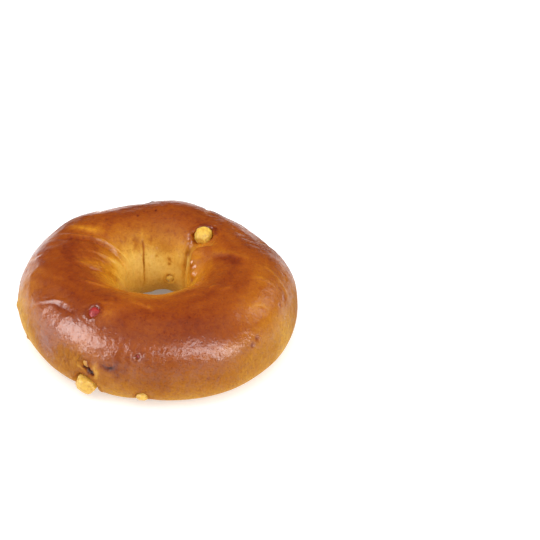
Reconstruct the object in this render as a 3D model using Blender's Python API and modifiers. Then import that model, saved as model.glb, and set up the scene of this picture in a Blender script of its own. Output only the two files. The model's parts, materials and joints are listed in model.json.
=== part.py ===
"""King cake: a baked ring of sweet dough with pieces of candied fruit set in its crust.

Metres, +Z up. The origin is the middle of the flat underside, on the surface that the cake
rests on. A ring angle turns about +Z from +X. A tube angle turns about the middle of the
dough tube: 0 is the outer side, 90 the top, 180 the side that faces the hole and 270 the
underside. Lengths in the tables are millimetres, and MM turns them into metres.
"""

import math
from collections import namedtuple

import bpy
from mathutils import Matrix, Vector

MM = 0.001

# Driving dimensions of the dough ring.
OUTER_RADIUS = 75.0
HOLE_RADIUS = 19.5
HEIGHT = 45.0
WAIST_SHARE = 0.40  # the widest level, as a share of the height
UNDERCUT = 3.0  # how far the round section would reach below the flat underside
TOP_ROUNDNESS = 2.1  # 2 is an ellipse, and more is squarer
FOOT_ROUNDNESS = 2.6
RING_STEPS = 150
TUBE_STEPS = 36

# Candied fruit.
FRUIT_GAP = 0.35  # clear of the pocket that the fruit sits in, on each side
FRUIT_ROUNDING = 2  # levels of subdivision that turn a cut dice into a soft one
FRUIT_SHARPNESS = 0.55  # crease of a dice's edges: 0 rounds them right off, 1 keeps them sharp
KNIFE_SLIP = 0.07  # the most that one corner of a dice is drawn in, as a share of its size

# Where the proved dough swells or falls in: the middle and half-width of each place in
# degrees, and what it adds to the outer radius, the hole's radius and the height.
Swell = namedtuple("Swell", "ring_angle half_width outer hole height")
SWELLS = (
    Swell(50, 50, -5.0, 0.0, -1.0),
    Swell(24, 25, -2.4, -2.0, 0.0),
    Swell(78, 26, 0.5, 0.0, 1.6),
    Swell(108, 26, -1.6, -1.0, -0.6),
    Swell(135, 32, 1.8, 1.5, 0.0),
    Swell(183, 40, -0.4, 1.5, 0.5),
    Swell(212, 30, -2.6, 0.5, 0.0),
    Swell(236, 24, -1.2, 0.0, 0.0),
    Swell(303, 45, 5.2, -1.0, 0.5),
    Swell(338, 28, 1.8, 0.0, 0.0),
    Swell(0, 50, 0.0, -2.5, 0.0),
    Swell(270, 60, 0.0, 0.0, 1.0),
)

# Folds in the dough, as valleys across the tube: where the middle lies, how far it leans
# round the ring for each degree up the tube, its half-width, its depth and the tube angles
# between which it runs.
Fold = namedtuple("Fold", "ring_angle lean half_width depth tube_from tube_to")
FOLDS = (
    Fold(112, 0.1, 7, 1.3, 115, 215),
    Fold(48, -0.1, 9, 2.0, 112, 215),
    Fold(146, -0.12, 9, 1.3, 68, 195),
)

# Each piece of fruit: where its middle meets the crust, its size along the ring, up the tube
# and into the dough, how far it stands proud of the crust, and its turn about the way out.
Fruit = namedtuple("Fruit", "name kind ring_angle tube_angle size proud turn")
FRUITS = (
    Fruit("candied_pineapple_rim", "pineapple", 45, 113, (9.5, 9.0, 7.0), 1.0, 20),
    Fruit("candied_cherry_top", "cherry", 241, 67, (7.0, 6.5, 6.0), 0.6, 35),
    Fruit("candied_lemon_foot", "lemon", 243, -21, (12.5, 8.5, 7.0), 2.6, -30),
    Fruit("candied_lemon_base", "lemon", 267, -24, (6.5, 5.0, 5.0), 1.6, 10),
    Fruit("candied_citron_hole", "pineapple", 74, 181, (5.0, 5.0, 5.0), 0.5, 25),
    Fruit("candied_orange_side", "orange", 244, 10, (6.5, 5.5, 5.0), 0.4, 15),
    Fruit("candied_cherry_front", "cherry", 266, 28, (5.0, 4.5, 5.0), 0.2, 40),
    Fruit("candied_orange_back", "orange", 118, 22, (9.0, 7.0, 6.5), 1.0, 25),
    Fruit("candied_cherry_back", "cherry", 76, -16, (7.5, 6.5, 6.0), 1.2, -20),
    Fruit("candied_lemon_back", "lemon", 30, 2, (8.0, 8.0, 6.5), 1.2, 40),
    Fruit("candied_cherry_left", "cherry", 152, -4, (6.5, 6.0, 6.0), 0.8, 10),
    Fruit("candied_pineapple_back", "pineapple", 97, 42, (7.0, 6.0, 6.0), 0.6, -35),
)

# Colour and roughness.
FINISHES = {
    "crust": ((0.46, 0.17, 0.035), 0.35),
    "cherry": ((0.42, 0.03, 0.06), 0.25),
    "lemon": ((0.85, 0.55, 0.12), 0.3),
    "pineapple": ((0.88, 0.64, 0.22), 0.3),
    "orange": ((0.78, 0.27, 0.05), 0.3),
}


def clear_scene():
    for thing in list(bpy.data.objects):
        bpy.data.objects.remove(thing)


def new_collection(name):
    made = bpy.data.collections.new(name)
    bpy.context.scene.collection.children.link(made)
    return made


def move_to(thing, collection):
    for held_in in list(thing.users_collection):
        held_in.objects.unlink(thing)
    collection.objects.link(thing)


def finish_material(name):
    colour, roughness = FINISHES[name]
    material = bpy.data.materials.new(name)
    material.use_nodes = True
    shader = material.node_tree.nodes["Principled BSDF"]
    shader.inputs["Base Color"].default_value = (*colour, 1.0)
    shader.inputs["Roughness"].default_value = roughness
    shader.inputs["Metallic"].default_value = 0.0
    return material


def hump(distance, half_width):
    """1 in the middle, falling smoothly to 0 at half_width and beyond."""
    if abs(distance) >= half_width:
        return 0.0
    return 0.5 + 0.5 * math.cos(math.pi * distance / half_width)


def turn_between(angle, middle):
    """The signed turn from middle to angle, in degrees, the short way round."""
    return (angle - middle + 180.0) % 360.0 - 180.0


def signed_power(value, power):
    return math.copysign(abs(value) ** power, value)


def fold_depth(ring_angle, tube_angle):
    """How far the folds press the surface in towards the middle of the tube."""
    depth = 0.0
    for fold in FOLDS:
        middle_of_run = 0.5 * (fold.tube_from + fold.tube_to)
        along = turn_between(tube_angle, middle_of_run)
        line = fold.ring_angle + fold.lean * along
        across = turn_between(ring_angle, line)
        run = hump(along, 0.5 * (fold.tube_to - fold.tube_from))
        depth += fold.depth * hump(across, fold.half_width) * math.sqrt(run)
    return depth


def dough_point(ring_angle, tube_angle):
    """The point of the crust at these two angles, in metres."""
    outer, hole, height = OUTER_RADIUS, HOLE_RADIUS, HEIGHT
    for swell in SWELLS:
        share = hump(turn_between(ring_angle, swell.ring_angle), swell.half_width)
        outer += share * swell.outer
        hole += share * swell.hole
        height += share * swell.height
    middle, half_width = 0.5 * (outer + hole), 0.5 * (outer - hole)
    waist = WAIST_SHARE * height
    sideways = math.cos(math.radians(tube_angle))
    upwards = math.sin(math.radians(tube_angle))
    if upwards >= 0:
        power, rise = 2 / TOP_ROUNDNESS, height - waist
    else:
        power, rise = 2 / FOOT_ROUNDNESS, waist + UNDERCUT
    pressed = 1.0 - fold_depth(ring_angle, tube_angle) / half_width
    radius = middle + pressed * half_width * signed_power(sideways, power)
    level = waist + pressed * rise * signed_power(upwards, power)
    turn = math.radians(ring_angle)
    point = Vector((radius * math.cos(turn), radius * math.sin(turn), max(level, 0.0)))
    return point * MM


def dough_normal(ring_angle, tube_angle, step=2.0):
    """The crust's outward direction there, and the direction that runs round the ring."""
    round_ring = dough_point(ring_angle + step, tube_angle) - dough_point(ring_angle - step, tube_angle)
    up_tube = dough_point(ring_angle, tube_angle + step) - dough_point(ring_angle, tube_angle - step)
    return round_ring.cross(up_tube).normalized(), round_ring.normalized()


def add_dough_ring(collection, cutters):
    """The baked ring, from a torus whose points are moved to the risen dough's shape."""
    major = 0.5 * (OUTER_RADIUS + HOLE_RADIUS) * MM
    bpy.ops.mesh.primitive_torus_add(
        major_segments=RING_STEPS,
        minor_segments=TUBE_STEPS,
        major_radius=major,
        minor_radius=0.5 * (OUTER_RADIUS - HOLE_RADIUS) * MM,
    )
    ring = bpy.context.object
    ring.name = "dough_ring"
    for vertex in ring.data.vertices:
        x, y, z = vertex.co
        ring_angle = math.degrees(math.atan2(y, x))
        tube_angle = math.degrees(math.atan2(z, math.hypot(x, y) - major))
        vertex.co = dough_point(ring_angle, tube_angle)
    ring.data.shade_smooth()
    ring.data.materials.append(finish_material("crust"))
    pockets = ring.modifiers.new("pockets", "BOOLEAN")
    pockets.operand_type = "COLLECTION"
    pockets.collection = cutters
    pockets.operation = "DIFFERENCE"
    pockets.solver = "EXACT"
    move_to(ring, collection)
    return ring


def add_dice(name, size, place, collection):
    """A soft-edged dice of candied fruit, size across in metres, put where place says."""
    bpy.ops.mesh.primitive_cube_add(size=1.0)
    dice = bpy.context.object
    dice.name = name
    corners = len(dice.data.vertices)
    for number, vertex in enumerate(dice.data.vertices):
        # The knife never cuts square: each corner is drawn in by its own amount.
        slip = KNIFE_SLIP * (number * 5 % corners) / corners
        vertex.co = Vector(a * b for a, b in zip(vertex.co, size)) * (1.0 - slip)
    # A cube cage shrinks when it is subdivided, so creased edges hold its size.
    creases = dice.data.attributes.new("crease_edge", "FLOAT", "EDGE")
    creases.data.foreach_set("value", [FRUIT_SHARPNESS] * len(dice.data.edges))
    soften = dice.modifiers.new("soften", "SUBSURF")
    soften.levels = FRUIT_ROUNDING
    soften.render_levels = FRUIT_ROUNDING
    dice.matrix_world = place
    move_to(dice, collection)
    return dice


def add_fruit(fruit, material, collection, cutters):
    """One piece of fruit, and the larger copy of it that cuts its pocket in the dough."""
    normal, round_ring = dough_normal(fruit.ring_angle, fruit.tube_angle)
    across = normal.cross(round_ring)
    outwards = fruit.proud - 0.5 * fruit.size[2]
    middle = dough_point(fruit.ring_angle, fruit.tube_angle) + normal * outwards * MM
    stand = Matrix((round_ring, across, normal)).transposed().to_4x4()
    turn = Matrix.Rotation(math.radians(fruit.turn), 4, "Z")
    place = Matrix.Translation(middle) @ stand @ turn
    piece = add_dice(fruit.name, [side * MM for side in fruit.size], place, collection)
    piece.data.materials.append(material)
    piece.data.shade_smooth()
    pocket_size = [(side + 2 * FRUIT_GAP) * MM for side in fruit.size]
    pocket = add_dice(fruit.name + "_pocket", pocket_size, place, cutters)
    pocket.hide_render = True
    pocket.display_type = "WIRE"
    return piece


def solid_points(thing):
    """The corners of the finished solid, with its modifiers and its place applied."""
    finished = thing.evaluated_get(bpy.context.evaluated_depsgraph_get())
    return [finished.matrix_world @ vertex.co for vertex in finished.data.vertices]


def stand_on_origin(cake, cutters):
    """Moves every piece and cutter by one parent, so the cake's box stands centred on the origin."""
    bpy.context.view_layer.update()
    points = [point for piece in cake.objects for point in solid_points(piece)]
    lows = [min(point[axis] for point in points) for axis in range(3)]
    highs = [max(point[axis] for point in points) for axis in range(3)]
    stand = bpy.data.objects.new("stand", None)
    bpy.context.scene.collection.objects.link(stand)
    stand.location = (-0.5 * (lows[0] + highs[0]), -0.5 * (lows[1] + highs[1]), -lows[2])
    for thing in [*cake.objects, *cutters.objects]:
        thing.parent = stand


def main():
    clear_scene()
    cake = new_collection("king_cake")
    cutters = new_collection("cutters")
    kinds = sorted({fruit.kind for fruit in FRUITS})
    materials = {kind: finish_material(kind) for kind in kinds}
    for fruit in FRUITS:
        add_fruit(fruit, materials[fruit.kind], cake, cutters)
    add_dough_ring(cake, cutters)
    stand_on_origin(cake, cutters)


main()
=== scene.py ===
"""King cake, the looks: a glazed ring of sweet bread with candied fruit baked into it.

The bread is one mesh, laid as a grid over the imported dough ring. A ring angle turns about +Z
from +X. A tube angle turns about the middle of the dough tube: 0 is the outer side, 90 the
top, 180 the side that faces the hole and 270 the underside. Lengths in the tables are
millimetres, and MM turns them into metres.
"""

import json
import math
from collections import namedtuple

import bpy
import numpy as np
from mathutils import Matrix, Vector
from mathutils.bvhtree import BVHTree


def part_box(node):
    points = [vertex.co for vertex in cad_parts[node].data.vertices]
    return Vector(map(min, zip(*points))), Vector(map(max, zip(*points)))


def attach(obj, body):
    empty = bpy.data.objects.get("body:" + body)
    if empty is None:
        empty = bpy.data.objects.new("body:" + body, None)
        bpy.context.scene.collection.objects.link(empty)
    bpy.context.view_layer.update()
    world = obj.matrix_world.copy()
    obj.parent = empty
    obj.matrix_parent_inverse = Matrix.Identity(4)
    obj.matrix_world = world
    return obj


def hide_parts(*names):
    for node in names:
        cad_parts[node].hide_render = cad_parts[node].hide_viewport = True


MM = 0.001

# The grid that the bread's mesh is laid on. A band of tube angles under the bread is flat, so
# its share of the rows is small.
RING_STEPS = 540
TUBE_STEPS = 178
CAST_RING_STEPS = 720
CAST_TUBE_STEPS = 180
RING_SMOOTHING = 2.4  # degrees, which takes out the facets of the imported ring
TUBE_SMOOTHING = 6.0
DETAIL_RING = 248.0  # the ring angle where the grid is closest, how widely, and by how much
DETAIL_SPREAD = 28.0
DETAIL_EXTRA = 0.8
UNDER_FROM = (226.0, 234.0)  # the tube angles that the underside begins and ends over
UNDER_TO = (306.0, 314.0)
UNDER_SAVING = 0.85
STREAK_RING = 47 * MM  # the radii of the ring and of its tube, as the streaks see them
STREAK_TUBE = 25 * MM

# ---------------------------------------------------------------- relief of the crust

# A line over the crust: points as (ring angle, tube angle), its half-width, how far its middle
# stands above the crust (a fold is below it), and how much browner it is. Past ring angle 0 its
# angles go on as negative ones, or it would run the long way round.
Line = namedtuple("Line", "points half_width rise brown")
LINES = (
    # The long crease in the wall of the hole, the ridge over it and the dark stroke beside it.
    Line(((109, 134), (110, 143), (114, 166), (116, 196)), 0.34, -0.9, 0.42),
    Line(((107, 117), (108, 126), (110, 137)), 0.5, 0.35, -0.10),
    Line(((115, 128), (117, 138), (119, 150)), 1.3, -0.4, 0.16),
    Line(((99, 130), (101, 142)), 0.6, -0.3, 0.10),
    Line(((122, 128), (126, 150), (128, 180)), 0.9, -0.4, -0.06),
    # The fold beside the lobe at the right of the hole, with its pale edge, and the lobe. The fold
    # is painted browner, for the shade in it.
    Line(((56, 130), (54, 145), (52, 165), (51, 205)), 1.1, -1.2, 0.12),
    Line(((52, 148), (50, 158), (47, 172), (45, 208)), 0.6, 0.45, -0.30),
    Line(((33, 126), (28, 131), (20, 139), (8, 147), (-6, 152)), 4.5, 4.2, 0.12),
    # A paler stroke down the lobe: its painted highlight.
    Line(((24, 130), (19, 138), (12, 145)), 2.2, 0.5, -0.12),
    # The seam at the left and back, where one turn of dough lies over the next. Its ridges are
    # painted paler: a painted highlight for the glints along their edges.
    Line(((156, 66), (153, 92), (146, 116), (140, 137), (134, 158), (131, 182)), 0.8, 1.1, -0.12),
    Line(((161, 66), (158, 94), (151, 118), (145, 140), (139, 165)), 1.6, -0.95, 0.10),
    Line(((147, 66), (146, 84), (143, 98), (138, 112)), 2.0, 0.25, -0.26),
    Line(((165, 122), (159, 138), (153, 152), (141, 171)), 0.8, 0.6, -0.12),
    Line(((186, 100), (188, 120), (182, 140), (168, 163), (154, 182)), 0.8, 1.0, -0.10),
    Line(((193, 104), (193, 124), (186, 144), (172, 168)), 1.3, -0.7, 0.08),
    Line(((208, 92), (219, 105), (227, 112), (247, 120)), 0.8, 0.9, -0.10),
    Line(((206, 99), (216, 111), (226, 118), (244, 126)), 1.2, -0.6, 0.06),
    # Ridges and hollows in the skin at the front left.
    Line(((202, 28), (209, 44), (217, 58), (227, 61)), 0.9, 0.6, -0.03),
    Line(((205, 36), (213, 49), (222, 53), (232, 55)), 1.1, -0.4, 0.10),
    Line(((232, 66), (238, 76), (247, 86)), 1.0, 0.35, -0.10),
    Line(((256, 94), (268, 90), (276, 84)), 1.0, 0.35, -0.05),
    Line(((267, 91), (270, 86), (272, 79)), 0.6, 0.5, -0.12),
    Line(((262, 70), (280, 68), (296, 66)), 2.4, 0.3, 0.02),
    Line(((272, 101), (284, 100), (296, 98)), 0.9, 0.25, 0.0),
    # Ridges and seams on the right. The fine ridges are painted paler: a painted highlight for the
    # glints along them.
    Line(((311, 99), (316, 101), (322, 97)), 0.7, 0.6, -0.10),
    Line(((317, 90), (321, 88), (326, 84)), 0.7, 0.55, -0.08),
    Line(((17, 121), (11, 112), (4, 98), (-3, 82)), 1.6, 0.35, -0.16),
    Line(((10, 124), (4, 112), (-3, 100), (-10, 90)), 2.0, -0.5, 0.12),
    Line(((354, 66), (349, 48), (344, 28)), 0.8, 0.3, -0.12),
    Line(((338, 82), (343, 64), (342, 44)), 0.8, 0.25, -0.10),
    Line(((320, 58), (326, 50), (328, 38)), 0.8, 0.25, -0.10),
    # The curl of crust over the piece in the rim, and the pale dough under it.
    Line(((48, 104), (47, 99), (46, 92)), 0.7, 0.8, -0.10),
    Line(((56, 108), (50, 102), (42, 100), (36, 104)), 0.8, 0.5, 0.16),
    Line(((50, 125), (40, 124), (32, 121)), 1.5, 0.3, -0.14),
    # Glaze that ran down the front left, and the bare dough beside it.
    Line(((257, 30), (257, 14), (256.5, -6)), 1.6, 0.15, 0.17),
    Line(((261, 30), (261, 16), (260, 2)), 1.2, 0.15, 0.10),
    Line(((248, 14), (248, 4), (248, -8)), 0.9, 0.35, -0.34),
    Line(((239, 4), (242, 3), (245, 0)), 0.7, 0.3, -0.20),
    Line(((250.4, 15), (251.4, 11), (253, 9.5), (254.6, 11), (255.4, 15)), 1.0, -0.6, 0.30),
    # The deep brown band over the front's shoulder.
    Line(((238, 58), (258, 62), (280, 62), (302, 60)), 6.0, 0.0, 0.06),
    # Folds on the sides that the front doesn't show.
    Line(((128, 70), (120, 45), (114, 20), (111, -10)), 1.8, -1.0, -0.25),
    Line(((60, 80), (66, 50), (70, 20), (72, -15)), 1.6, -0.9, -0.2),
    Line(((175, 60), (171, 35), (168, 10)), 1.3, -0.7, -0.2),
    Line(((20, 60), (24, 35), (27, 12)), 1.4, -0.7, -0.15),
)

# Fine stretch marks that run together at the left foot of the hole: how many, their seed, the
# ranges of their half-width, rise and brown, how far an end strays from its place and how far
# the middle is bent, and the ranges of the ring and tube angles that they start and end at.
STRETCH_MARKS = 11
STRETCH_SEED = 9
STRETCH_HALF_WIDTHS = (0.5, 1.0)
STRETCH_RISES = (-0.35, 0.35)
# The marks are paler than the crust: partly the pale stretched dough, partly a painted highlight
# for the glints along them.
STRETCH_BROWNS = (-0.10, 0.0)
STRETCH_STRAY = 2.5
STRETCH_BEND = (0.10, 3.0)  # a share of the turn round the ring, and degrees up the tube
STRETCH_FROM = ((148.0, 205.0), (92.0, 130.0))
STRETCH_TO = ((131.0, 170.0), (160.0, 184.0))

# A round place on the crust: its middle, its radius, how far its middle stands out, and how
# much browner it is.
Spot = namedtuple("Spot", "ring tube radius rise brown")
SPOTS = (
    # The slit over the large yellow piece, the hollow beside it and other pits.
    Spot(243.8, 6.5, 0.85, -2.4, 0.9),
    Spot(244.6, 3.5, 1.0, -3.4, 0.9),
    Spot(245.6, 0.5, 1.0, -3.4, 0.9),
    Spot(246.6, -2.0, 0.7, -2.4, 0.9),
    Spot(252, 17, 3.0, 0.5, 0.10),
    Spot(312, 21, 1.2, -0.7, 0.36),
    Spot(315, 25, 1.4, -0.4, 0.30),
    Spot(77, 159, 0.9, -0.5, 0.30),
    Spot(77, 164, 0.8, -0.5, 0.32),
    Spot(94, 93, 0.6, -0.4, 0.35),
    Spot(107, 97, 0.6, -0.4, 0.30),
    Spot(342, 33, 1.2, -0.5, 0.2),
    Spot(336, 34, 0.9, -0.4, 0.2),
    Spot(38, 120, 4.5, -1.5, 0.0),
    Spot(202, -14, 1.3, 0.9, 0.3),
    Spot(190, 8, 2.6, 0.9, 0.0),
    # Broad swellings.
    Spot(239, 14, 7.5, 0.7, 0.0),
    Spot(232, 76, 12.0, 0.5, 0.05),
)

# Broad patches: the middle, the radius, how much browner each is, how much of the glaze is
# missing there (less than 0 where it is thicker), and how crackled the crust is.
Patch = namedtuple("Patch", "ring tube radius brown bare crackle")
PATCHES = (
    Patch(192, 8, 22, -0.30, 0.3, 0.0),
    Patch(205, -12, 16, -0.15, 0.4, 0.0),
    Patch(248, 69, 7, -0.24, 0.0, 0.0),
    Patch(256, 98, 9, -0.10, 0.0, 0.0),
    Patch(40, 124, 7, -0.12, 0.0, 0.0),
    Patch(20, 140, 9, 0.05, -0.5, 0.0),
    Patch(44, 147, 6, 0.0, 0.9, 0.0),
    Patch(30, 100, 16, -0.05, 0.0, 0.0),
    Patch(350, 70, 20, -0.16, 0.0, 0.0),
    Patch(322, 50, 20, -0.17, 0.0, 0.0),
    Patch(303, 20, 12, -0.06, 0.1, 0.0),
    Patch(220, 8, 10, 0.14, -0.4, 0.0),
    Patch(50, 150, 9, 0.0, 0.6, 0.0),
    Patch(60, 115, 18, 0.07, 0.0, 0.0),
    Patch(332, 5, 22, -0.20, 0.3, 0.0),
    Patch(352, 20, 20, -0.10, 0.4, 0.0),
    Patch(354, 52, 14, 0.07, 0.2, 0.0),
    Patch(312, 4, 16, -0.12, 0.3, 0.0),
    Patch(335, 106, 20, 0.15, 0.0, 0.0),
    Patch(358, 108, 10, 0.10, 0.0, 0.0),
    Patch(85, 96, 22, 0.05, 0.0, 0.0),
    Patch(118, 90, 14, 0.05, 0.0, 0.0),
    Patch(15, 108, 16, 0.08, 0.0, 0.0),
    Patch(285, 34, 20, 0.05, 0.0, 0.0),
    Patch(272, 5, 22, 0.09, 0.0, 0.0),
    Patch(310, 82, 16, 0.03, 0.0, 0.0),
    *(Patch(ring, 44, 20, 0.12, 0.8, 0.0) for ring in (20, 60, 100, 140)),
    Patch(72, 175, 18, -0.10, 0.2, 0.0),
    Patch(106, 150, 22, 0.0, 0.8, 0.0),
    Patch(112, 168, 16, -0.08, 0.2, 0.0),
    Patch(85, 150, 8, 0.10, 0.0, 0.0),
    Patch(146, 164, 12, -0.12, 0.0, 0.0),
    Patch(166, 128, 13, 0.13, 0.0, 0.0),
    Patch(168, 106, 14, 0.14, 0.0, 0.0),
    Patch(198, 108, 18, 0.10, 0.0, 0.0),
    Patch(233, 6, 8, -0.13, 0.8, 1.0),
    Patch(240, 11, 6, -0.10, 0.8, 1.0),
)

# Where the dough is pushed out of its smooth shape: the middle, the half-widths round the ring
# and up the tube in degrees, and how far it goes away from the hole's axis and up.
Push = namedtuple("Push", "ring tube ring_width tube_width outwards up")
PUSHES = (
    # The wall of the hole is drawn in under the back, and its foot arches off the tray.
    Push(95, 214, 55, 34, 4.0, 0.0),
    Push(91, 226, 11, 18, 2.0, 3.0),
    Push(112, 226, 9, 14, 0.6, 1.3),
    # The front is a little lower over the hole.
    Push(280, 104, 24, 40, 0.0, -1.1),
)

# Noise over the whole crust and over each piece of fruit: how strong it is, the size of its
# lumps and its seed. A piece of fruit adds its own seed to these.
Layer = namedtuple("Layer", "strength size seed")
BROWN_LAYERS = (Layer(0.04, 17, 1), Layer(0.01, 7, 2))
RAGGED_LAYERS = (Layer(0.55, 2.4, 17), Layer(0.3, 1.0, 18))
SKIN_LAYERS = (Layer(0.55, 24, 3), Layer(0.28, 10, 4), Layer(0.15, 4.4, 6), Layer(0.09, 2.5, 7))
FRUIT_LAYERS = (Layer(0.65, 3.6, 0), Layer(0.34, 1.7, 1), Layer(0.08, 0.8, 2))

# How each piece of fruit shows: how far it is sunk under the crust (less than 0 where it is
# raised), the radius of the opening in the crust over it, and how round it is: 0 is a dice and
# 1 a ball.
Look = namedtuple("Look", "sink opening rounding")
LOOKS = {
    "candied_pineapple_rim": Look(-1.5, 6.2, 0.88),
    "candied_cherry_top": Look(0.0, 3.4, 0.80),
    "candied_lemon_foot": Look(0.0, 7.5, 0.75),
    "candied_lemon_base": Look(0.1, 3.4, 0.65),
    "candied_citron_hole": Look(0.1, 2.5, 0.80),
    "candied_orange_side": Look(1.1, 1.5, 0.80),
    "candied_cherry_front": Look(1.2, 1.5, 0.80),
    "candied_orange_back": Look(0.2, 4.2, 0.65),
    "candied_cherry_back": Look(0.4, 3.3, 0.80),
    "candied_lemon_back": Look(0.0, 4.4, 0.65),
    "candied_cherry_left": Look(0.5, 2.4, 0.80),
    "candied_pineapple_back": Look(0.3, 2.8, 0.75),
}

# ---------------------------------------------------------------- colour

# The crust's colour from unbaked-looking pale to nearly burnt, as stops of a ramp over how
# brown it is: the place on the ramp, then linear red, green and blue. Glazed crust bakes redder
# than bare crust.
GLAZED_STOPS = (
    (0.00, (0.84, 0.48, 0.060)),
    (0.15, (0.74, 0.345, 0.022)),
    (0.30, (0.59, 0.218, 0.006)),
    (0.45, (0.46, 0.132, 0.002)),
    (0.60, (0.340, 0.069, 0.001)),
    (0.75, (0.235, 0.034, 0.0008)),
    (0.88, (0.145, 0.015, 0.0008)),
    (1.00, (0.045, 0.005, 0.0008)),
)
BARE_STOPS = (
    (0.00, (0.82, 0.54, 0.130)),
    (0.15, (0.70, 0.40, 0.070)),
    (0.30, (0.53, 0.235, 0.026)),
    (0.45, (0.41, 0.145, 0.011)),
    (0.60, (0.31, 0.090, 0.005)),
    (0.75, (0.205, 0.045, 0.002)),
    (0.88, (0.110, 0.019, 0.001)),
    (1.00, (0.040, 0.006, 0.001)),
)

# How much each fine pattern in the crust adds to its brown, its bump and its coat of glaze.
BROWN_SHARES = {
    "mottle": 0.13,
    "pebble": 0.13,
    "speckle": 0.16,
    "streak": 0.22,
    "fine_pores": 0.14,
    "wide_pores": 0.10,
}
BUMP_SHARES = {
    "speckle": 0.8,
    "pebble": 1.6,
    "fine_pores": -0.5,
    "wide_pores": -0.6,
    "streak": 0.5,
}
COAT_SHARES = {"fine_pores": -0.6, "pebble": 1.2, "speckle": 1.4}
CRUST_BUMP = 0.15  # millimetres, for a pattern whose share is 1
# The shader's values where the crust is all glazed, then where it is bare.
CRUST_COAT = (0.85, 0.0)
CRUST_ROUGHNESS = (0.42, 0.75)
SPECKLE_ROUGHNESS = 0.22
CRUST_SETTINGS = {
    "Coat Roughness": 0.21,
    "Coat IOR": 1.62,
    "Specular IOR Level": 0.12,
    "Subsurface Weight": 0.06,
    "Subsurface Radius": (1.0, 0.45, 0.18),
    "Subsurface Scale": 3.0 * MM,
}

# What every kind of fruit has: the sizes of its cloud and its grain, the range of the cloud
# over which its deeper colour comes in, the range of its roughness, and its bump's height and
# strength.
FLESH_CLOUD = 1.8
FLESH_GRAIN = 0.7
FLESH_DEEPENS = (0.42, 0.75)
FLESH_ROUGHNESS = (0.36, 0.62)
FLESH_BUMP = 0.12
FLESH_BUMP_STRENGTH = 0.4
GRAIN_SPREAD = (0.3, 0.7)  # most of a grain's values are between these
FLESH_SETTINGS = {
    "Specular IOR Level": 0.35,
    "Coat Weight": 0.25,
    "Coat Roughness": 0.28,
    "Subsurface Weight": 0.25,
    "Subsurface Scale": 1.0 * MM,
}

# Each kind of fruit: its main colour, its deeper colour, and how far light runs in it (mm).
Flesh = namedtuple("Flesh", "main deep scatter")
FLESHES = {
    "candied_cherry": Flesh((0.40, 0.026, 0.022), (0.20, 0.011, 0.009), (2.0, 0.3, 0.2)),
    "candied_lemon": Flesh((0.80, 0.49, 0.075), (0.62, 0.31, 0.030), (3.0, 1.8, 0.5)),
    "candied_orange": Flesh((0.64, 0.30, 0.030), (0.44, 0.15, 0.012), (3.0, 1.0, 0.3)),
    "candied_pineapple": Flesh((0.84, 0.55, 0.080), (0.60, 0.29, 0.028), (3.0, 2.0, 0.8)),
}


# ---------------------------------------------------------------- numbers over the grid


def wrapped(angles):
    """Angles in degrees as signed turns of less than half a circle."""
    return (angles + 180.0) % 360.0 - 180.0


def smooth_step(values, low, high):
    share = np.clip((values - low) / (high - low), 0.0, 1.0)
    return share * share * (3.0 - 2.0 * share)


def blurred(field, ring_width, tube_width):
    """A Gaussian blur, widths in grid steps, of a field that closes on itself both ways."""
    ring_wave = np.fft.fftfreq(field.shape[0])[:, None] * ring_width
    tube_wave = np.fft.fftfreq(field.shape[1])[None, :] * tube_width
    falloff = np.exp(-2.0 * math.pi**2 * (ring_wave**2 + tube_wave**2))
    return np.fft.ifft2(np.fft.fft2(field) * falloff).real


def sampled(field, ring_angles, tube_angles):
    """Values of a closed grid field at any angles in degrees, by linear interpolation."""
    ring_place = np.asarray(ring_angles) % 360.0 * field.shape[0] / 360.0
    tube_place = np.asarray(tube_angles) % 360.0 * field.shape[1] / 360.0
    ring_cell = np.floor(ring_place).astype(int)
    tube_cell = np.floor(tube_place).astype(int)
    total = 0.0
    for ring_side in (0, 1):
        for tube_side in (0, 1):
            ring_share = np.abs(1 - ring_side - (ring_place - ring_cell))
            tube_share = np.abs(1 - tube_side - (tube_place - tube_cell))
            rows = (ring_cell + ring_side) % field.shape[0]
            columns = (tube_cell + tube_side) % field.shape[1]
            total = total + field[rows, columns] * ring_share * tube_share
    return total


def noise(points, size, seed):
    """Smooth random values of about -1 to 1, one for each point, that change over size."""
    cells = 24
    dimensions = points.shape[-1]
    lattice = np.random.default_rng(seed).uniform(-1.0, 1.0, (cells,) * dimensions)
    scaled = points / size
    cell = np.floor(scaled).astype(int)
    share = scaled - cell
    share = share * share * (3.0 - 2.0 * share)
    total = np.zeros(points.shape[:-1])
    for corner in np.ndindex(*(2,) * dimensions):
        weight = np.prod(np.where(corner, share, 1.0 - share), axis=-1)
        index = (cell + corner) % cells
        total += weight * lattice[tuple(np.moveaxis(index, -1, 0))]
    return total


def layered(points, layers, seed=0):
    """The layers' noise at each point, added up."""
    return sum(
        layer.strength * noise(points, layer.size * MM, seed + layer.seed) for layer in layers
    )


def streaks(ring_angles, tube_angles, twist, along, across, seed):
    """Noise drawn out along the ring: lumps are along by across metres, and twist turns them."""
    ring = np.radians(ring_angles)
    tube = np.radians(tube_angles) + twist * ring
    ring_circle = np.stack([np.cos(ring), np.sin(ring)], axis=-1) * (STREAK_RING / along)
    tube_circle = np.stack([np.cos(tube), np.sin(tube)], axis=-1) * (STREAK_TUBE / across)
    return noise(np.concatenate([ring_circle, tube_circle], axis=-1), 1.0, seed)


def spaced_angles(steps, weight_at):
    """Angles round a full turn, closer together where weight_at is larger."""
    fine = np.linspace(0.0, 360.0, 3601)
    weights = weight_at(0.5 * (fine[1:] + fine[:-1]))
    reached = np.concatenate([[0.0], np.cumsum(weights)])
    return np.interp(np.arange(steps) / steps * reached[-1], reached, fine)


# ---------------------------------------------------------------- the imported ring, as a grid


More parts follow.
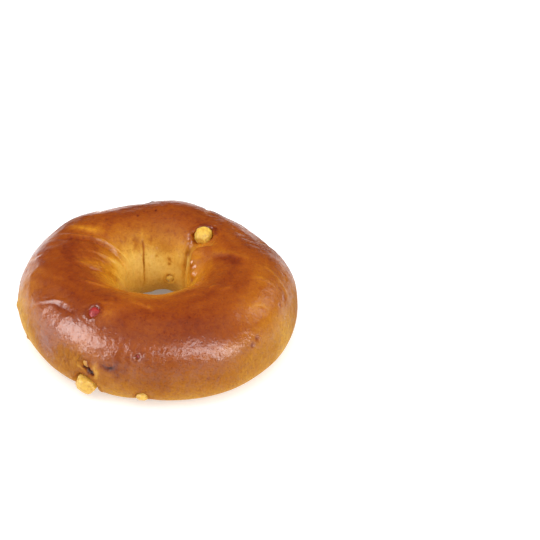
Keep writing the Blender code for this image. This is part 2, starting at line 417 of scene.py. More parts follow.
class RingShape:
    """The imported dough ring, measured as distances from the middle line of its tube."""

    WAIST_SHARE = 0.40  # the level of the tube's middle, as a share of the height
    WIDTH_STEPS = 120  # places round the ring where the tube's width is measured
    WIDTH_BLUR = 1.5  # of those steps
    POCKET_MARGIN = 1.2 * MM  # round each piece of fruit, where the crust isn't measured

    def __init__(self, node, fruit_nodes):
        low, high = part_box(node.name)
        self.level = self.WAIST_SHARE * (high.z - low.z)
        self.rise = (high.z - low.z) - self.level
        points = np.array([vertex.co for vertex in node.data.vertices])
        self.middle, self.half_width = self.tube_widths(points)
        tree = BVHTree.FromPolygons(
            [vertex.co for vertex in node.data.vertices],
            [polygon.vertices for polygon in node.data.polygons],
        )
        self.reach = self.cast(tree, fruit_nodes)

    def tube_widths(self, points):
        """The tube's middle radius and half its width, for each step round the ring."""
        radii = np.hypot(points[:, 0], points[:, 1])
        angles = np.degrees(np.arctan2(points[:, 1], points[:, 0]))
        step_angle = 360.0 / self.WIDTH_STEPS
        steps = np.arange(self.WIDTH_STEPS) * step_angle
        outer = []
        hole = []
        for step in steps:
            close = radii[np.abs(wrapped(angles - step)) < step_angle]
            outer.append(close.max())
            hole.append(close.min())
        outer = blurred(np.array(outer)[:, None], self.WIDTH_BLUR, 0.0)
        hole = blurred(np.array(hole)[:, None], self.WIDTH_BLUR, 0.0)
        return 0.5 * (outer + hole), 0.5 * (outer - hole)

    def directions(self, ring_angles, tube_angles):
        """Middle points of the tube, and unit directions out of it, for grids of angles."""
        middle = sampled(self.middle, ring_angles, 0.0)
        half_width = sampled(self.half_width, ring_angles, 0.0)
        ring = np.radians(ring_angles)
        tube = np.radians(tube_angles)
        sideways = half_width * np.cos(tube)
        upwards = self.rise * np.sin(tube)
        length = np.hypot(sideways, upwards)
        round_ring = np.stack([np.cos(ring), np.sin(ring), np.zeros_like(ring)], axis=-1)
        up = np.array([0.0, 0.0, 1.0])
        starts = round_ring * middle[..., None] + up * self.level
        ways = round_ring * (sideways / length)[..., None] + up * (upwards / length)[..., None]
        return starts, ways

    def cast(self, tree, fruit_nodes):
        """How far the crust is from the tube's middle, with the fruit's pockets filled in."""
        ring_angles, tube_angles = np.meshgrid(
            np.arange(CAST_RING_STEPS) * 360.0 / CAST_RING_STEPS,
            np.arange(CAST_TUBE_STEPS) * 360.0 / CAST_TUBE_STEPS,
            indexing="ij",
        )
        starts, ways = self.directions(ring_angles, tube_angles)
        reach = np.empty(starts.shape[:2])
        for index in np.ndindex(*reach.shape):
            reach[index] = tree.ray_cast(Vector(starts[index]), Vector(ways[index]))[3]
        hits = starts + ways * reach[..., None]
        known = np.ones(reach.shape)
        for node in fruit_nodes:
            low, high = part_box(node.name)
            away = np.linalg.norm(hits - np.array(0.5 * (low + high)), axis=-1)
            known[away < 0.5 * (high - low).length + self.POCKET_MARGIN] = 0.0
        ring_width = RING_SMOOTHING * CAST_RING_STEPS / 360.0
        tube_width = TUBE_SMOOTHING * CAST_TUBE_STEPS / 360.0
        filled = blurred(reach * known, ring_width, tube_width)
        return filled / blurred(known, ring_width, tube_width)

    def surface(self, ring_angles, tube_angles):
        """Points of the smooth crust at these angles. None is below the flat underside."""
        starts, ways = self.directions(ring_angles, tube_angles)
        reach = sampled(self.reach, ring_angles, tube_angles)
        points = starts + ways * reach[..., None]
        points[..., 2] = np.maximum(points[..., 2], 0.0)
        return points


def grid_normals(points):
    """Unit normals, out of the dough, of a grid of points that closes on itself both ways."""
    round_ring = np.roll(points, -1, 0) - np.roll(points, 1, 0)
    up_tube = np.roll(points, -1, 1) - np.roll(points, 1, 1)
    normals = np.cross(round_ring, up_tube)
    return normals / np.maximum(np.linalg.norm(normals, axis=-1, keepdims=True), 1e-12)


# ---------------------------------------------------------------- lines, spots and sockets


def curve_through(points, samples=90):
    """A smooth run of angles through the given ones, and its share of the way along."""
    points = np.array(points, float)
    share = np.linspace(0.0, 1.0, samples)
    place = share * (len(points) - 1)
    start = np.minimum(place.astype(int), len(points) - 2)
    t = (place - start)[:, None]
    padded = np.vstack([2 * points[0] - points[1], points, 2 * points[-1] - points[-2]])
    a, b, c, d = (padded[start + step] for step in range(4))
    run = b + 0.5 * t * (c - a + t * (2 * a - 5 * b + 4 * c - d + t * (3 * (b - c) + d - a)))
    return run, share


def hump(turn, half_width):
    """1 in the middle, falling smoothly to 0 at half_width and beyond."""
    share = np.clip(np.abs(turn) / half_width, 0.0, 1.0)
    return 0.5 + 0.5 * np.cos(math.pi * share)


class Relief:
    """How far the crust stands out of its smooth shape, and how brown it is, over the grid.

    Its rough field is how much of the glaze is missing, and dry is how far the colour is that of
    bare crust.
    """

    LINE_WAVES = 9.0  # how often a line wavers along its run
    LINE_WAVER = 0.5  # degrees
    LINE_REACH = 6.0  # half-widths from a line's run, past which nothing of it is left
    LINE_BLUSH = 1.5  # half-widths that its colour spreads over
    LINE_UNEVENNESS = 0.3
    SPOT_REACH = 3.0  # radii
    SPOT_BLUSH = 1.1  # radii
    SPOT_UNEVENNESS = 0.22
    PATCH_SOFTNESS = 0.75  # radii
    CRACK_CELLS = (3.6, 2.4)  # millimetres, of the two nets of cracks
    CRACK_EDGES = (0.02, 0.20)
    CRACK_DEPTH = 0.5
    CRACK_BROWN = 0.12
    SOCKET_REACH = 4.0  # millimetres past the opening
    SOCKET_RAGGEDNESS = 0.25
    SOCKET_DEPTH = 1.7
    SOCKET_EDGE = (-0.9, 0.1)
    SOCKET_BROWN = 0.08
    LIP_WIDTH = 0.9
    LIP_RISE = 0.35

    def __init__(self, shape, ring_angles, tube_angles):
        self.shape = shape
        self.base = shape.surface(ring_angles, tube_angles)
        for push in PUSHES:
            share = hump(wrapped(ring_angles - push.ring), push.ring_width)
            share = share * hump(wrapped(tube_angles - push.tube), push.tube_width)
            ring = np.radians(ring_angles)
            self.base[..., 0] += share * push.outwards * MM * np.cos(ring)
            self.base[..., 1] += share * push.outwards * MM * np.sin(ring)
            self.base[..., 2] += share * push.up * MM
        self.normals = grid_normals(self.base)
        self.height = np.zeros(self.base.shape[:2])
        self.brown = np.zeros(self.base.shape[:2])
        self.rough = np.zeros(self.base.shape[:2])
        self.dry = np.zeros(self.base.shape[:2])

    def place(self, ring, tube):
        return self.shape.surface(np.array(ring, float), np.array(tube, float))

    def add_line(self, line):
        run, share = curve_through(line.points)
        # A line isn't ruled: its run wavers a little, and its strength fades at both ends.
        waver = noise(share[:, None] * self.LINE_WAVES + line.points[0][0], 1.0, 5)
        run[:, 0] += self.LINE_WAVER * waver
        path = self.place(run[:, 0], run[:, 1])
        reach = self.LINE_REACH * line.half_width * MM
        inside = np.all(self.base > path.min(0) - reach, axis=-1)
        inside &= np.all(self.base < path.max(0) + reach, axis=-1)
        here = self.base[inside]
        away = np.linalg.norm(here[:, None] - path[None], axis=-1)
        nearest = away.argmin(1)
        away = away[np.arange(len(here)), nearest] / (line.half_width * MM)
        along = share[nearest]
        fade = np.sqrt(np.sin(math.pi * np.clip(along, 0.0, 1.0)).clip(0.0))
        fade *= 1.0 + self.LINE_UNEVENNESS * noise(here, 3.0 * MM, 8)
        # A fold is narrow at its bottom and opens out. A ridge is round.
        across = 1.0 / (1.0 + away**2) ** 1.5 if line.rise < 0 else np.exp(-(away**2))
        self.height[inside] += line.rise * MM * fade * across
        self.brown[inside] += line.brown * fade * np.exp(-((away / self.LINE_BLUSH) ** 2))

    def add_spot(self, spot):
        middle = self.place(spot.ring, spot.tube)
        away = np.linalg.norm(self.base - middle, axis=-1) / (spot.radius * MM)
        inside = away < self.SPOT_REACH
        uneven = 1.0 + self.SPOT_UNEVENNESS * noise(self.base[inside], 1.6 * MM, 13)
        near = away[inside] * uneven
        # A pit has a steeper side than a swelling.
        power = 3.0 if spot.rise < 0 else 2.0
        self.height[inside] += spot.rise * MM * np.exp(-(near**power))
        self.brown[inside] += spot.brown * np.exp(-((near / self.SPOT_BLUSH) ** 2))

    def add_patch(self, patch):
        away = np.linalg.norm(self.base - self.place(patch.ring, patch.tube), axis=-1)
        away = away / (patch.radius * MM)
        share = np.exp(-((away / self.PATCH_SOFTNESS) ** 2))
        self.brown += patch.brown * share
        self.rough += patch.bare * share
        self.dry += patch.bare * share
        if patch.crackle:
            nets = [np.abs(noise(self.base, size * MM, 21)) for size in self.CRACK_CELLS]
            open_here = 1.0 - smooth_step(np.minimum(*nets), *self.CRACK_EDGES)
            cracks = patch.crackle * share * open_here
            self.height -= self.CRACK_DEPTH * cracks * MM
            self.brown += self.CRACK_BROWN * cracks

    def add_socket(self, node, look):
        """The crust's edge round a piece of fruit: open over the fruit, and swollen outside it."""
        low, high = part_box(node.name)
        middle = np.array(0.5 * (low + high))
        nearest = np.linalg.norm(self.base - middle, axis=-1).argmin()
        foot = self.base.reshape(-1, 3)[nearest]
        away = np.linalg.norm(self.base - foot, axis=-1) / MM
        inside = away < look.opening + self.SOCKET_REACH
        ragged = layered(self.base[inside], RAGGED_LAYERS)
        gap = away[inside] - look.opening * (1.0 + self.SOCKET_RAGGEDNESS * ragged)
        dip = 1.0 - smooth_step(gap, *self.SOCKET_EDGE)
        lip = np.exp(-((gap / self.LIP_WIDTH - 1.0) ** 2)) * (1.0 + ragged)
        self.height[inside] += (self.LIP_RISE * lip - self.SOCKET_DEPTH * dip) * MM
        self.brown[inside] += self.SOCKET_BROWN * (lip + dip)
        self.rough[inside] += 0.5 * dip

    def outwards_at(self, node):
        """The crust's outward direction where it is nearest to a piece of fruit."""
        low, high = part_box(node.name)
        away = np.linalg.norm(self.base - np.array(0.5 * (low + high)), axis=-1)
        return self.normals.reshape(-1, 3)[away.argmin()]

    def points(self):
        return self.base + self.normals * self.height[..., None]


# ---------------------------------------------------------------- the bread


# What the oven leaves on the smooth crust, from the foot over the top and down the hole to the
# underside: the tube angle, how brown it is there and how much glaze it has.
OVEN_ROWS = (
    (-50, 0.30, 0.00),
    (-38, 0.18, 0.00),
    (-25, 0.30, 0.05),
    (-12, 0.43, 0.10),
    (0, 0.51, 0.20),
    (15, 0.55, 0.50),
    (30, 0.59, 0.90),
    (50, 0.65, 1.00),
    (75, 0.66, 1.00),
    (95, 0.64, 1.00),
    (115, 0.50, 0.95),
    (135, 0.34, 0.80),
    (155, 0.19, 0.55),
    (180, 0.12, 0.35),
    (205, 0.10, 0.20),
    (222, 0.10, 0.10),
    (240, 0.45, 0.00),
    (310, 0.30, 0.00),
)
OVEN_TUBES, OVEN_BROWN, OVEN_GLAZE = zip(*OVEN_ROWS)
# The tables of tube angles run half a turn either way of this one.
TABLE_MIDDLE = 130.0
# How far the colour is that of bare crust.
DRY_FROM = (-50, -20, 0, 20, 35, 205, 230, 310)
DRY_SHARE = (1.0, 1.0, 0.8, 0.4, 0.0, 0.0, 1.0, 1.0)
# How far the uneven skin stands out, and how far the stretched streaks show.
SKIN_FROM = (-40, -15, 10, 190, 215)
SKIN_SHARE = (0.0, 0.6, 1.0, 1.0, 0.0)
STREAKED_FROM = (5, 45, 150, 195)
STREAKED_SHARE = (0.0, 1.0, 1.0, 0.3)
STREAK_RISE = 0.20
STREAK_BROWN = 0.08
FLAT_BELOW = 2.5 * MM  # the height above the tray that the relief fades out over

# Streaks drawn out round the ring, and those at the left that twist up out of the hole: the
# turn, the length and the width of their lumps, and the seed.
LEVEL_STREAKS = (0, 20 * MM, 4.0 * MM, 31)
TWISTED_STREAKS = (-1, 16 * MM, 3.2 * MM, 32)
TWISTED_MIDDLE = 165.0  # the ring angle in the middle of the twisted streaks
TWISTED_REACH = (35.0, 60.0)  # degrees from there that they fade out over

# Small marks over all the crust: how many, the seed, then the ranges of the radius and the
# rise, and how much browner each is.
Scatter = namedtuple("Scatter", "count seed sizes rises brown")
SHOWN_TUBES = (-25.0, 190.0)
PORES = Scatter(420, 11, (0.35, 0.9), (-0.3, -0.1), 0.10)
BLISTERS = Scatter(90, 12, (1.0, 2.6), (0.03, 0.10), 0.04)


def grid_angles():
    """The ring and tube angles of the bread's grid, closest together where most detail is."""

    def ring_weight(angle):
        left_front = np.exp(-((wrapped(angle - DETAIL_RING) / DETAIL_SPREAD) ** 2))
        return 1.0 + DETAIL_EXTRA * left_front

    def tube_weight(angle):
        under = smooth_step(angle, *UNDER_FROM) - smooth_step(angle, *UNDER_TO)
        return 1.0 - UNDER_SAVING * under

    rings = spaced_angles(RING_STEPS, ring_weight)
    tubes = spaced_angles(TUBE_STEPS, tube_weight)
    return np.meshgrid(rings, tubes, indexing="ij")


def scattered_spots(scatter):
    """Small pits or blisters at seeded places over all the crust that shows."""
    draw = np.random.default_rng(scatter.seed)
    spots = []
    for _ in range(scatter.count):
        ring = draw.uniform(0.0, 360.0)
        tube = draw.uniform(*SHOWN_TUBES)
        size = draw.uniform(*scatter.sizes)
        spots.append(Spot(ring, tube, size, draw.uniform(*scatter.rises), scatter.brown))
    return spots


def stretch_marks():
    """The fan of fine lines at the left of the hole."""
    draw = np.random.default_rng(STRETCH_SEED)
    lines = []
    for share in np.linspace(0.0, 1.0, STRETCH_MARKS):
        ends = []
        for rings, tubes in (STRETCH_FROM, STRETCH_TO):
            stray = draw.uniform(-STRETCH_STRAY, STRETCH_STRAY)
            ring = rings[0] + (rings[1] - rings[0]) * share + stray
            tube = tubes[0] + (tubes[1] - tubes[0]) * draw.uniform(0.0, 1.0)
            ends.append(np.array([ring, tube]))
        bend = np.array([STRETCH_BEND[0] * (ends[1][0] - ends[0][0]), STRETCH_BEND[1]])
        middle = 0.5 * (ends[0] + ends[1]) - bend
        points = (tuple(ends[0]), tuple(middle), tuple(ends[1]))
        half_width = draw.uniform(*STRETCH_HALF_WIDTHS)
        rise = draw.uniform(*STRETCH_RISES)
        lines.append(Line(points, half_width, rise, draw.uniform(*STRETCH_BROWNS)))
    return lines


def bake_evenly(relief, tube):
    """The browning and the glaze that depend on the tube angle, with some unevenness."""
    relief.brown += np.interp(tube, OVEN_TUBES, OVEN_BROWN)
    relief.rough += 1.0 - np.interp(tube, OVEN_TUBES, OVEN_GLAZE)
    relief.dry += np.interp(tube, DRY_FROM, DRY_SHARE)
    relief.brown += layered(relief.base, BROWN_LAYERS)


def swell_skin(relief, tube):
    """The broad swells and the fine ripples of the skin."""
    skin = np.interp(tube, SKIN_FROM, SKIN_SHARE)
    relief.height += layered(relief.base, SKIN_LAYERS) * skin * MM


def draw_out_skin(relief, ring_angles, tube_angles, tube):
    """Streaks that run round the ring, and twist where the dough was twisted, at the left."""
    left = 1.0 - smooth_step(np.abs(wrapped(ring_angles - TWISTED_MIDDLE)), *TWISTED_REACH)
    level = streaks(ring_angles, tube_angles, *LEVEL_STREAKS)
    twisted = streaks(ring_angles, tube_angles, *TWISTED_STREAKS)
    drawn_out = level * (1.0 - left) + twisted * left
    drawn_out *= np.interp(tube, STREAKED_FROM, STREAKED_SHARE)
    relief.height += STREAK_RISE * drawn_out * MM
    relief.brown += STREAK_BROWN * drawn_out


def shape_crust(relief, ring_angles, tube_angles, fruit_nodes):
    """Puts every feature of the crust into the relief."""
    tube = wrapped(tube_angles - TABLE_MIDDLE) + TABLE_MIDDLE
    bake_evenly(relief, tube)
    swell_skin(relief, tube)
    draw_out_skin(relief, ring_angles, tube_angles, tube)
    for patch in PATCHES:
        relief.add_patch(patch)
    for line in (*LINES, *stretch_marks()):
        relief.add_line(line)
    for spot in (*SPOTS, *scattered_spots(PORES), *scattered_spots(BLISTERS)):
        relief.add_spot(spot)
    for node in fruit_nodes:
        relief.add_socket(node, LOOKS[node.name])
    # The underside was baked on a flat tray, so nothing stands out of it.
    relief.height *= smooth_step(relief.base[..., 2], 0.0, FLAT_BELOW)


def float_attribute(mesh, name, values):
    mesh.attributes.new(name, "FLOAT", "POINT").data.foreach_set(
        "value", np.asarray(values, np.float32).ravel()
    )


def grid_mesh(name, points):
    """A mesh over a grid of points that closes on itself both ways, with its bake layout."""
    ring_steps, tube_steps = points.shape[:2]
    index = np.arange(ring_steps * tube_steps).reshape(ring_steps, tube_steps)
    next_ring = np.roll(index, -1, 0)
    next_tube = np.roll(index, -1, 1)
    both = np.roll(next_ring, -1, 1)
    faces = np.stack([index, next_ring, both, next_tube], axis=-1).reshape(-1, 4)
    mesh = bpy.data.meshes.new(name)
    mesh.from_pydata(points.reshape(-1, 3), [], faces.tolist())
    lay_out_for_baking(mesh, ring_steps, tube_steps)
    mesh.shade_smooth()
    return mesh


def lay_out_for_baking(mesh, ring_steps, tube_steps):
    """The ring in two strips, each half of the way round, one over the other."""
    margin = 0.01
    row, column = np.divmod(np.arange(ring_steps * tube_steps), tube_steps)
    column = (column + tube_steps // 4) % tube_steps
    half = ring_steps // 2
    strip = row // half
    corners = np.array([(0, 0), (1, 0), (1, 1), (0, 1)])
    along = (row[:, None] % half + corners[:, 0]) / half
    up = (column[:, None] + corners[:, 1]) / tube_steps
    across = margin + (1 - 2 * margin) * along
    rise = 0.5 * (strip[:, None] + margin + (1 - 2 * margin) * up)
    layout = mesh.uv_layers.new(name="OFBake")
    layout.data.foreach_set("uv", np.stack([across, rise], axis=-1).astype(np.float32).ravel())


def build_bread(node, fruit_nodes):
    ring_angles, tube_angles = grid_angles()
    relief = Relief(RingShape(node, fruit_nodes), ring_angles, tube_angles)
    shape_crust(relief, ring_angles, tube_angles, fruit_nodes)
    points = relief.points()
    points[..., 2] = np.maximum(points[..., 2], 0.0)
    mesh = grid_mesh("crust", points)
    float_attribute(mesh, "brown", np.clip(relief.brown, 0.0, 1.0))
    float_attribute(mesh, "rough", np.clip(relief.rough, 0.0, 1.0))
    float_attribute(mesh, "dry", np.clip(relief.dry, 0.0, 1.0))
    bread = bpy.data.objects.new("crust", mesh)
    bpy.context.scene.collection.objects.link(bread)
    bread.data.materials.append(crust_material())
    return bread, relief


# ---------------------------------------------------------------- the candied fruit

FRUIT_GRID = 0.32 * MM
FRUIT_SOFTENING = 26  # rounds of smoothing
FRUIT_SHRINK = 0.15  # millimetres, which leaves room for the lumps
FRUIT_SEED = 100
SEEDS_EACH = 10


def rounded_off(points, rounding):
    """Draws every point towards one mean distance from the middle, so a dice loses its corners."""
    middle = points.mean(0)
    away = np.linalg.norm(points - middle, axis=-1, keepdims=True)
    wanted = away * (1.0 - rounding) + away.mean() * rounding
    return middle + (points - middle) * wanted / away


def build_fruit(node, kind, look, outwards, seed):
    """A soft, uneven piece of candied fruit, in the place of its packed dice."""
    rough_cut = bpy.data.objects.new("rough_cut", node.data.copy())
    bpy.context.scene.collection.objects.link(rough_cut)
    grain = rough_cut.modifiers.new("grain", "REMESH")
    grain.mode = "VOXEL"
    grain.voxel_size = FRUIT_GRID
    soften = rough_cut.modifiers.new("soften", "SMOOTH")
    soften.iterations = FRUIT_SOFTENING
    finished = rough_cut.evaluated_get(bpy.context.evaluated_depsgraph_get())
    mesh = bpy.data.meshes.new_from_object(finished)
    bpy.data.objects.remove(rough_cut)
    points = np.array([vertex.co for vertex in mesh.vertices])
    normals = np.array([vertex.normal for vertex in mesh.vertices])
    lumps = layered(points, FRUIT_LAYERS, seed)
    points = rounded_off(points, look.rounding)
    points += normals * (lumps - FRUIT_SHRINK)[:, None] * MM
    points -= outwards * look.sink * MM
    mesh.vertices.foreach_set("co", points.astype(np.float32).ravel())
    mesh.update()
    mesh.shade_smooth()
    mesh.materials.clear()
    mesh.materials.append(fruit_material(kind))
    mesh.name = node.name.replace("candied", "piece")
    piece = bpy.data.objects.new(mesh.name, mesh)
    bpy.context.scene.collection.objects.link(piece)
    return piece


# ---------------------------------------------------------------- materials


def new_material(name):
    material = bpy.data.materials.new(name)
    material.use_nodes = True
    tree = material.node_tree
    return material, tree, tree.nodes["Principled BSDF"]


def add_node(tree, kind, inputs, **settings):
    """A shader node. Inputs take a value, or another node's output, by name or number."""
    made = tree.nodes.new(kind)
    for name, value in settings.items():
        setattr(made, name, value)
    for name, value in inputs.items():
        if isinstance(value, bpy.types.NodeSocket):
            tree.links.new(value, made.inputs[name])
        else:
            made.inputs[name].default_value = value
    return made


def maths(tree, operation, first, second=0.0, third=0.0):
    inputs = {0: first, 1: second, 2: third}
    return add_node(tree, "ShaderNodeMath", inputs, operation=operation).outputs[0]


def ranged(tree, value, from_low, from_high, to_low, to_high):
    inputs = {0: value, 1: from_low, 2: from_high, 3: to_low, 4: to_high}
    return add_node(tree, "ShaderNodeMapRange", inputs).outputs[0]


def grains(tree, place, size, detail=3.0):
    """Noise of 0 to 1 whose lumps are size millimetres across."""
    inputs = {"Vector": place, "Scale": 1.0 / (size * MM), "Detail": detail, "Roughness": 0.6}
    return add_node(tree, "ShaderNodeTexNoise", inputs).outputs["Fac"]


def pores(tree, place, size, wide, share):
    """1 in the middle of small round pores, which a share of the cells have, and 0 elsewhere."""
    cells = add_node(
        tree, "ShaderNodeTexVoronoi", {"Vector": place, "Scale": 1.0 / (size * MM)}
    )
    round_pore = ranged(tree, cells.outputs["Distance"], 0.0, wide, 1.0, 0.0)
    pick = add_node(tree, "ShaderNodeSeparateColor", {0: cells.outputs["Color"]}).outputs[0]
    chosen = maths(tree, "LESS_THAN", pick, share)
    return maths(tree, "MULTIPLY", round_pore, chosen)


def set_inputs(shader, settings):
    for name, value in settings.items():
        shader.inputs[name].default_value = value


def mixed_colour(tree, share, first, second):
    inputs = {"Factor": share, 6: first, 7: second}
    return add_node(tree, "ShaderNodeMix", inputs, data_type="RGBA").outputs[2]


def bumped(tree, height, strength, distance):
    inputs = {"Strength": strength, "Distance": distance * MM, "Height": height}
    return add_node(tree, "ShaderNodeBump", inputs).outputs[0]


def object_place(tree):
    return add_node(tree, "ShaderNodeTexCoord", {}).outputs["Object"]


def attribute(tree, name):
    return add_node(tree, "ShaderNodeAttribute", {}, attribute_name=name).outputs["Fac"]


def colour_ramp(tree, value, stops):
    ramp = add_node(tree, "ShaderNodeValToRGB", {0: value})
    elements = ramp.color_ramp.elements
    for element, (where, colour) in zip(list(elements), (stops[0], stops[-1])):
        element.position = where
        element.color = (*colour, 1.0)
    for where, colour in stops[1:-1]:
        elements.new(where).color = (*colour, 1.0)
    return ramp.outputs["Color"]


def off_middle(tree, fac):
    """Noise of 0 to 1 as -0.5 to 0.5."""
    return maths(tree, "SUBTRACT", fac, 0.5)


def crust_patterns(tree, bare):
    """The fine patterns of the crust. The streaks run down the sides, where it is bare."""
    place = object_place(tree)
    upright = add_node(tree, "ShaderNodeMapping", {"Vector": place, "Scale": (1, 1, 0.22)})
    streak = off_middle(tree, grains(tree, upright.outputs[0], 1.1, 2.0))
    return {
        "mottle": off_middle(tree, grains(tree, place, 8.0, 4.0)),
        "pebble": off_middle(tree, grains(tree, place, 2.8, 2.0)),
        "speckle": off_middle(tree, grains(tree, place, 1.3)),
        "streak": maths(tree, "MULTIPLY", streak, bare),
        "fine_pores": pores(tree, place, 1.25, 0.38, 0.45),
        "wide_pores": pores(tree, place, 2.6, 0.26, 0.35),
    }


def with_shares(tree, start, patterns, shares):
    """A value plus each pattern times its share."""
    total = start
    for name, share in shares.items():
        total = maths(tree, "MULTIPLY_ADD", patterns[name], share, total)
    return total


def crust_material():
    material, tree, shader = new_material("crust")
    bare = attribute(tree, "rough")
    patterns = crust_patterns(tree, bare)

    brown = with_shares(tree, attribute(tree, "brown"), patterns, BROWN_SHARES)
    glazed_colour = colour_ramp(tree, brown, GLAZED_STOPS)
    bare_colour = colour_ramp(tree, brown, BARE_STOPS)
    colour = mixed_colour(tree, attribute(tree, "dry"), glazed_colour, bare_colour)
    tree.links.new(colour, shader.inputs["Base Color"])

    roughness = ranged(tree, bare, 0.0, 1.0, *CRUST_ROUGHNESS)
    roughness = with_shares(tree, roughness, patterns, {"speckle": SPECKLE_ROUGHNESS})
    tree.links.new(roughness, shader.inputs["Roughness"])

    bump = bumped(tree, with_shares(tree, 0.0, patterns, BUMP_SHARES), 1.0, CRUST_BUMP)
    for socket in ("Normal", "Coat Normal"):
        tree.links.new(bump, shader.inputs[socket])

    coat = ranged(tree, bare, 0.0, 1.0, *CRUST_COAT)
    coat = with_shares(tree, coat, patterns, COAT_SHARES)
    coat = add_node(tree, "ShaderNodeClamp", {0: coat}).outputs[0]
    tree.links.new(coat, shader.inputs["Coat Weight"])
    set_inputs(shader, CRUST_SETTINGS)
    return material


def fruit_material(kind):
    name = kind.replace("candied", "flesh")
    if name in bpy.data.materials:
        return bpy.data.materials[name]
    material, tree, shader = new_material(name)
    flesh = FLESHES[kind]
    place = object_place(tree)
    cloud = grains(tree, place, FLESH_CLOUD)
    grain = grains(tree, place, FLESH_GRAIN)
    deeper = ranged(tree, cloud, *FLESH_DEEPENS, 0.0, 1.0)
    colour = mixed_colour(tree, deeper, (*flesh.main, 1.0), (*flesh.deep, 1.0))
    tree.links.new(colour, shader.inputs["Base Color"])
    roughness = ranged(tree, grain, *GRAIN_SPREAD, *FLESH_ROUGHNESS)
    tree.links.new(roughness, shader.inputs["Roughness"])
    bump = bumped(tree, grain, FLESH_BUMP_STRENGTH, FLESH_BUMP)
    tree.links.new(bump, shader.inputs["Normal"])
    set_inputs(shader, {**FLESH_SETTINGS, "Subsurface Radius": flesh.scatter})
    return material


# ---------------------------------------------------------------- the studio

CAMERA_PITCH = 33.5  # degrees below the level
CAMERA_AIM = (0.0600, 0.0545, 0.0)
CAMERA_DISTANCE = 0.887
CAMERA_LENS = 103.0
CAMERA_SENSOR = 36.0
WORLD_STRENGTH = 0.06
TABLE_SIZE = 8.0
TABLE_WHITENESS = 0.6
TABLE_GLOW = 0.66
# Between these radii the table's glow rises from none to full: painted shade on the table round
# and inside the cake.
SHADOW_GLOW_RADII = (0.018, 0.082)  # metres from the hole's middle: no glow, and all of it
WHITE = (1.0, 1.0, 1.0, 1.0)

# Softboxes: the way to each from the cake (azimuth, elevation), its distance and its size in
# metres, how bright its face is, whether it lights the crust and whether it shows in the
# glaze. The high ones are crossed with a polariser, as in food photography, so they leave no
# glare. The low ones are there for their glare alone.
Softbox = namedtuple("Softbox", "azimuth elevation distance width depth radiance lights glare")
SOFTBOXES = (
    Softbox(202, 22, 1.3, 1.20, 0.74, 6.6, False, True),
    Softbox(292, 31, 1.3, 1.00, 0.42, 5.8, False, True),
    Softbox(325, 14, 1.3, 0.80, 0.40, 8.0, False, True),
    Softbox(27, 32, 1.3, 0.50, 0.50, 1.8, False, True),
    Softbox(302, 51, 1.5, 2.10, 1.90, 1.95, True, False),
    Softbox(178, 52, 1.5, 1.80, 1.60, 1.95, True, False),
    Softbox(70, 60, 1.5, 1.60, 1.60, 1.2, True, False),
)


def direction(azimuth, elevation):
    around = math.radians(azimuth)
    upwards = math.radians(elevation)
    flat = math.cos(upwards)
    return Vector((flat * math.cos(around), flat * math.sin(around), math.sin(upwards)))


def add_softbox(number, box):
    light = bpy.data.lights.new(f"softbox_{number}", "AREA")
    light.shape = "RECTANGLE"
    light.size = box.width
    light.size_y = box.depth
    light.energy = box.radiance * math.pi * box.width * box.depth
    lamp = bpy.data.objects.new(light.name, light)
    bpy.context.scene.collection.objects.link(lamp)
    way = direction(box.azimuth, box.elevation)
    lamp.location = way * box.distance
    lamp.rotation_euler = way.to_track_quat("Z", "Y").to_euler()
    lamp.visible_diffuse = box.lights
    lamp.visible_glossy = box.glare


def add_world():
    world = bpy.data.worlds.new("studio")
    world.use_nodes = True
    background = world.node_tree.nodes["Background"]
    set_inputs(background, {"Color": WHITE, "Strength": WORLD_STRENGTH})
    bpy.context.scene.world = world


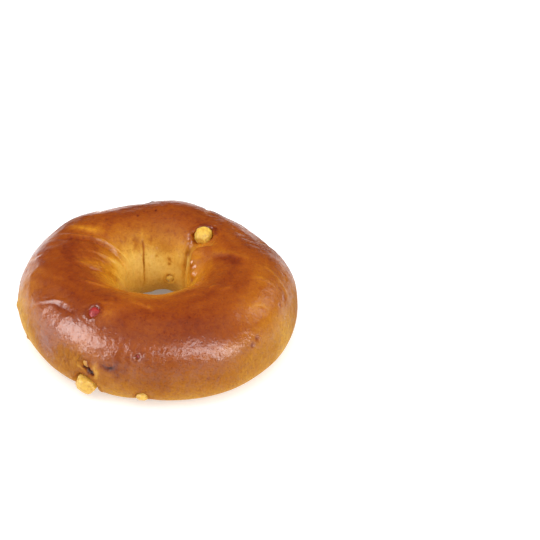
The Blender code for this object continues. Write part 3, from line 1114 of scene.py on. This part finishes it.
def add_floor():
    """A light table, which glows all round the cake. Its glow fades out towards the hole, which
    paints a shadow on the table round the cake and inside its hole.
    """
    bpy.ops.mesh.primitive_plane_add(size=TABLE_SIZE)
    floor = bpy.context.object
    floor.name = "floor"
    material, tree, shader = new_material("floor")
    grey = (TABLE_WHITENESS, TABLE_WHITENESS, TABLE_WHITENESS, 1.0)
    set_inputs(shader, {"Base Color": grey, "Roughness": 0.8, "Emission Color": WHITE})
    away = add_node(tree, "ShaderNodeVectorMath", {0: object_place(tree)}, operation="LENGTH")
    glow = ranged(tree, away.outputs["Value"], *SHADOW_GLOW_RADII, 0.0, TABLE_GLOW)
    tree.links.new(glow, shader.inputs["Emission Strength"])
    floor.data.materials.append(material)


def add_camera():
    data = bpy.data.cameras.new("camera")
    data.lens = CAMERA_LENS
    data.sensor_width = CAMERA_SENSOR
    camera = bpy.data.objects.new("camera", data)
    bpy.context.scene.collection.objects.link(camera)
    back = direction(270.0, CAMERA_PITCH)
    camera.location = Vector(CAMERA_AIM) + back * CAMERA_DISTANCE
    camera.rotation_euler = back.to_track_quat("Z", "Y").to_euler()
    bpy.context.scene.camera = camera


def add_studio():
    bpy.context.scene.view_settings.view_transform = "Standard"
    add_world()
    add_floor()
    add_camera()
    for number, box in enumerate(SOFTBOXES):
        add_softbox(number, box)


# ---------------------------------------------------------------- the cake

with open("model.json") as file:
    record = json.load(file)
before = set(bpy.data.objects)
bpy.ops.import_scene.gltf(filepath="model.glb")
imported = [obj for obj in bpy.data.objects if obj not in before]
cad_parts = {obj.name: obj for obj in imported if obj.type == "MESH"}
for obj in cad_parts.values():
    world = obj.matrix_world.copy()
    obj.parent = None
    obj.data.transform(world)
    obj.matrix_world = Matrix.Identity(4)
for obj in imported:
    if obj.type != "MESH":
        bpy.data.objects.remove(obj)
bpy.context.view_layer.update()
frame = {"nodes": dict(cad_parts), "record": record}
nodes = frame["nodes"]
slots = {part["node"]: part["material_slot"] for part in frame["record"]["subparts"]}
fruit_names = sorted(name for name in nodes if name.startswith("candied"))

bread, relief = build_bread(nodes["dough_ring"], [nodes[name] for name in fruit_names])
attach(bread, "root")
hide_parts("dough_ring")

for number, name in enumerate(fruit_names):
    outwards = relief.outwards_at(nodes[name])
    seed = FRUIT_SEED + SEEDS_EACH * number
    piece = build_fruit(nodes[name], slots[name], LOOKS[name], outwards, seed)
    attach(piece, "root")
    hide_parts(name)

add_studio()
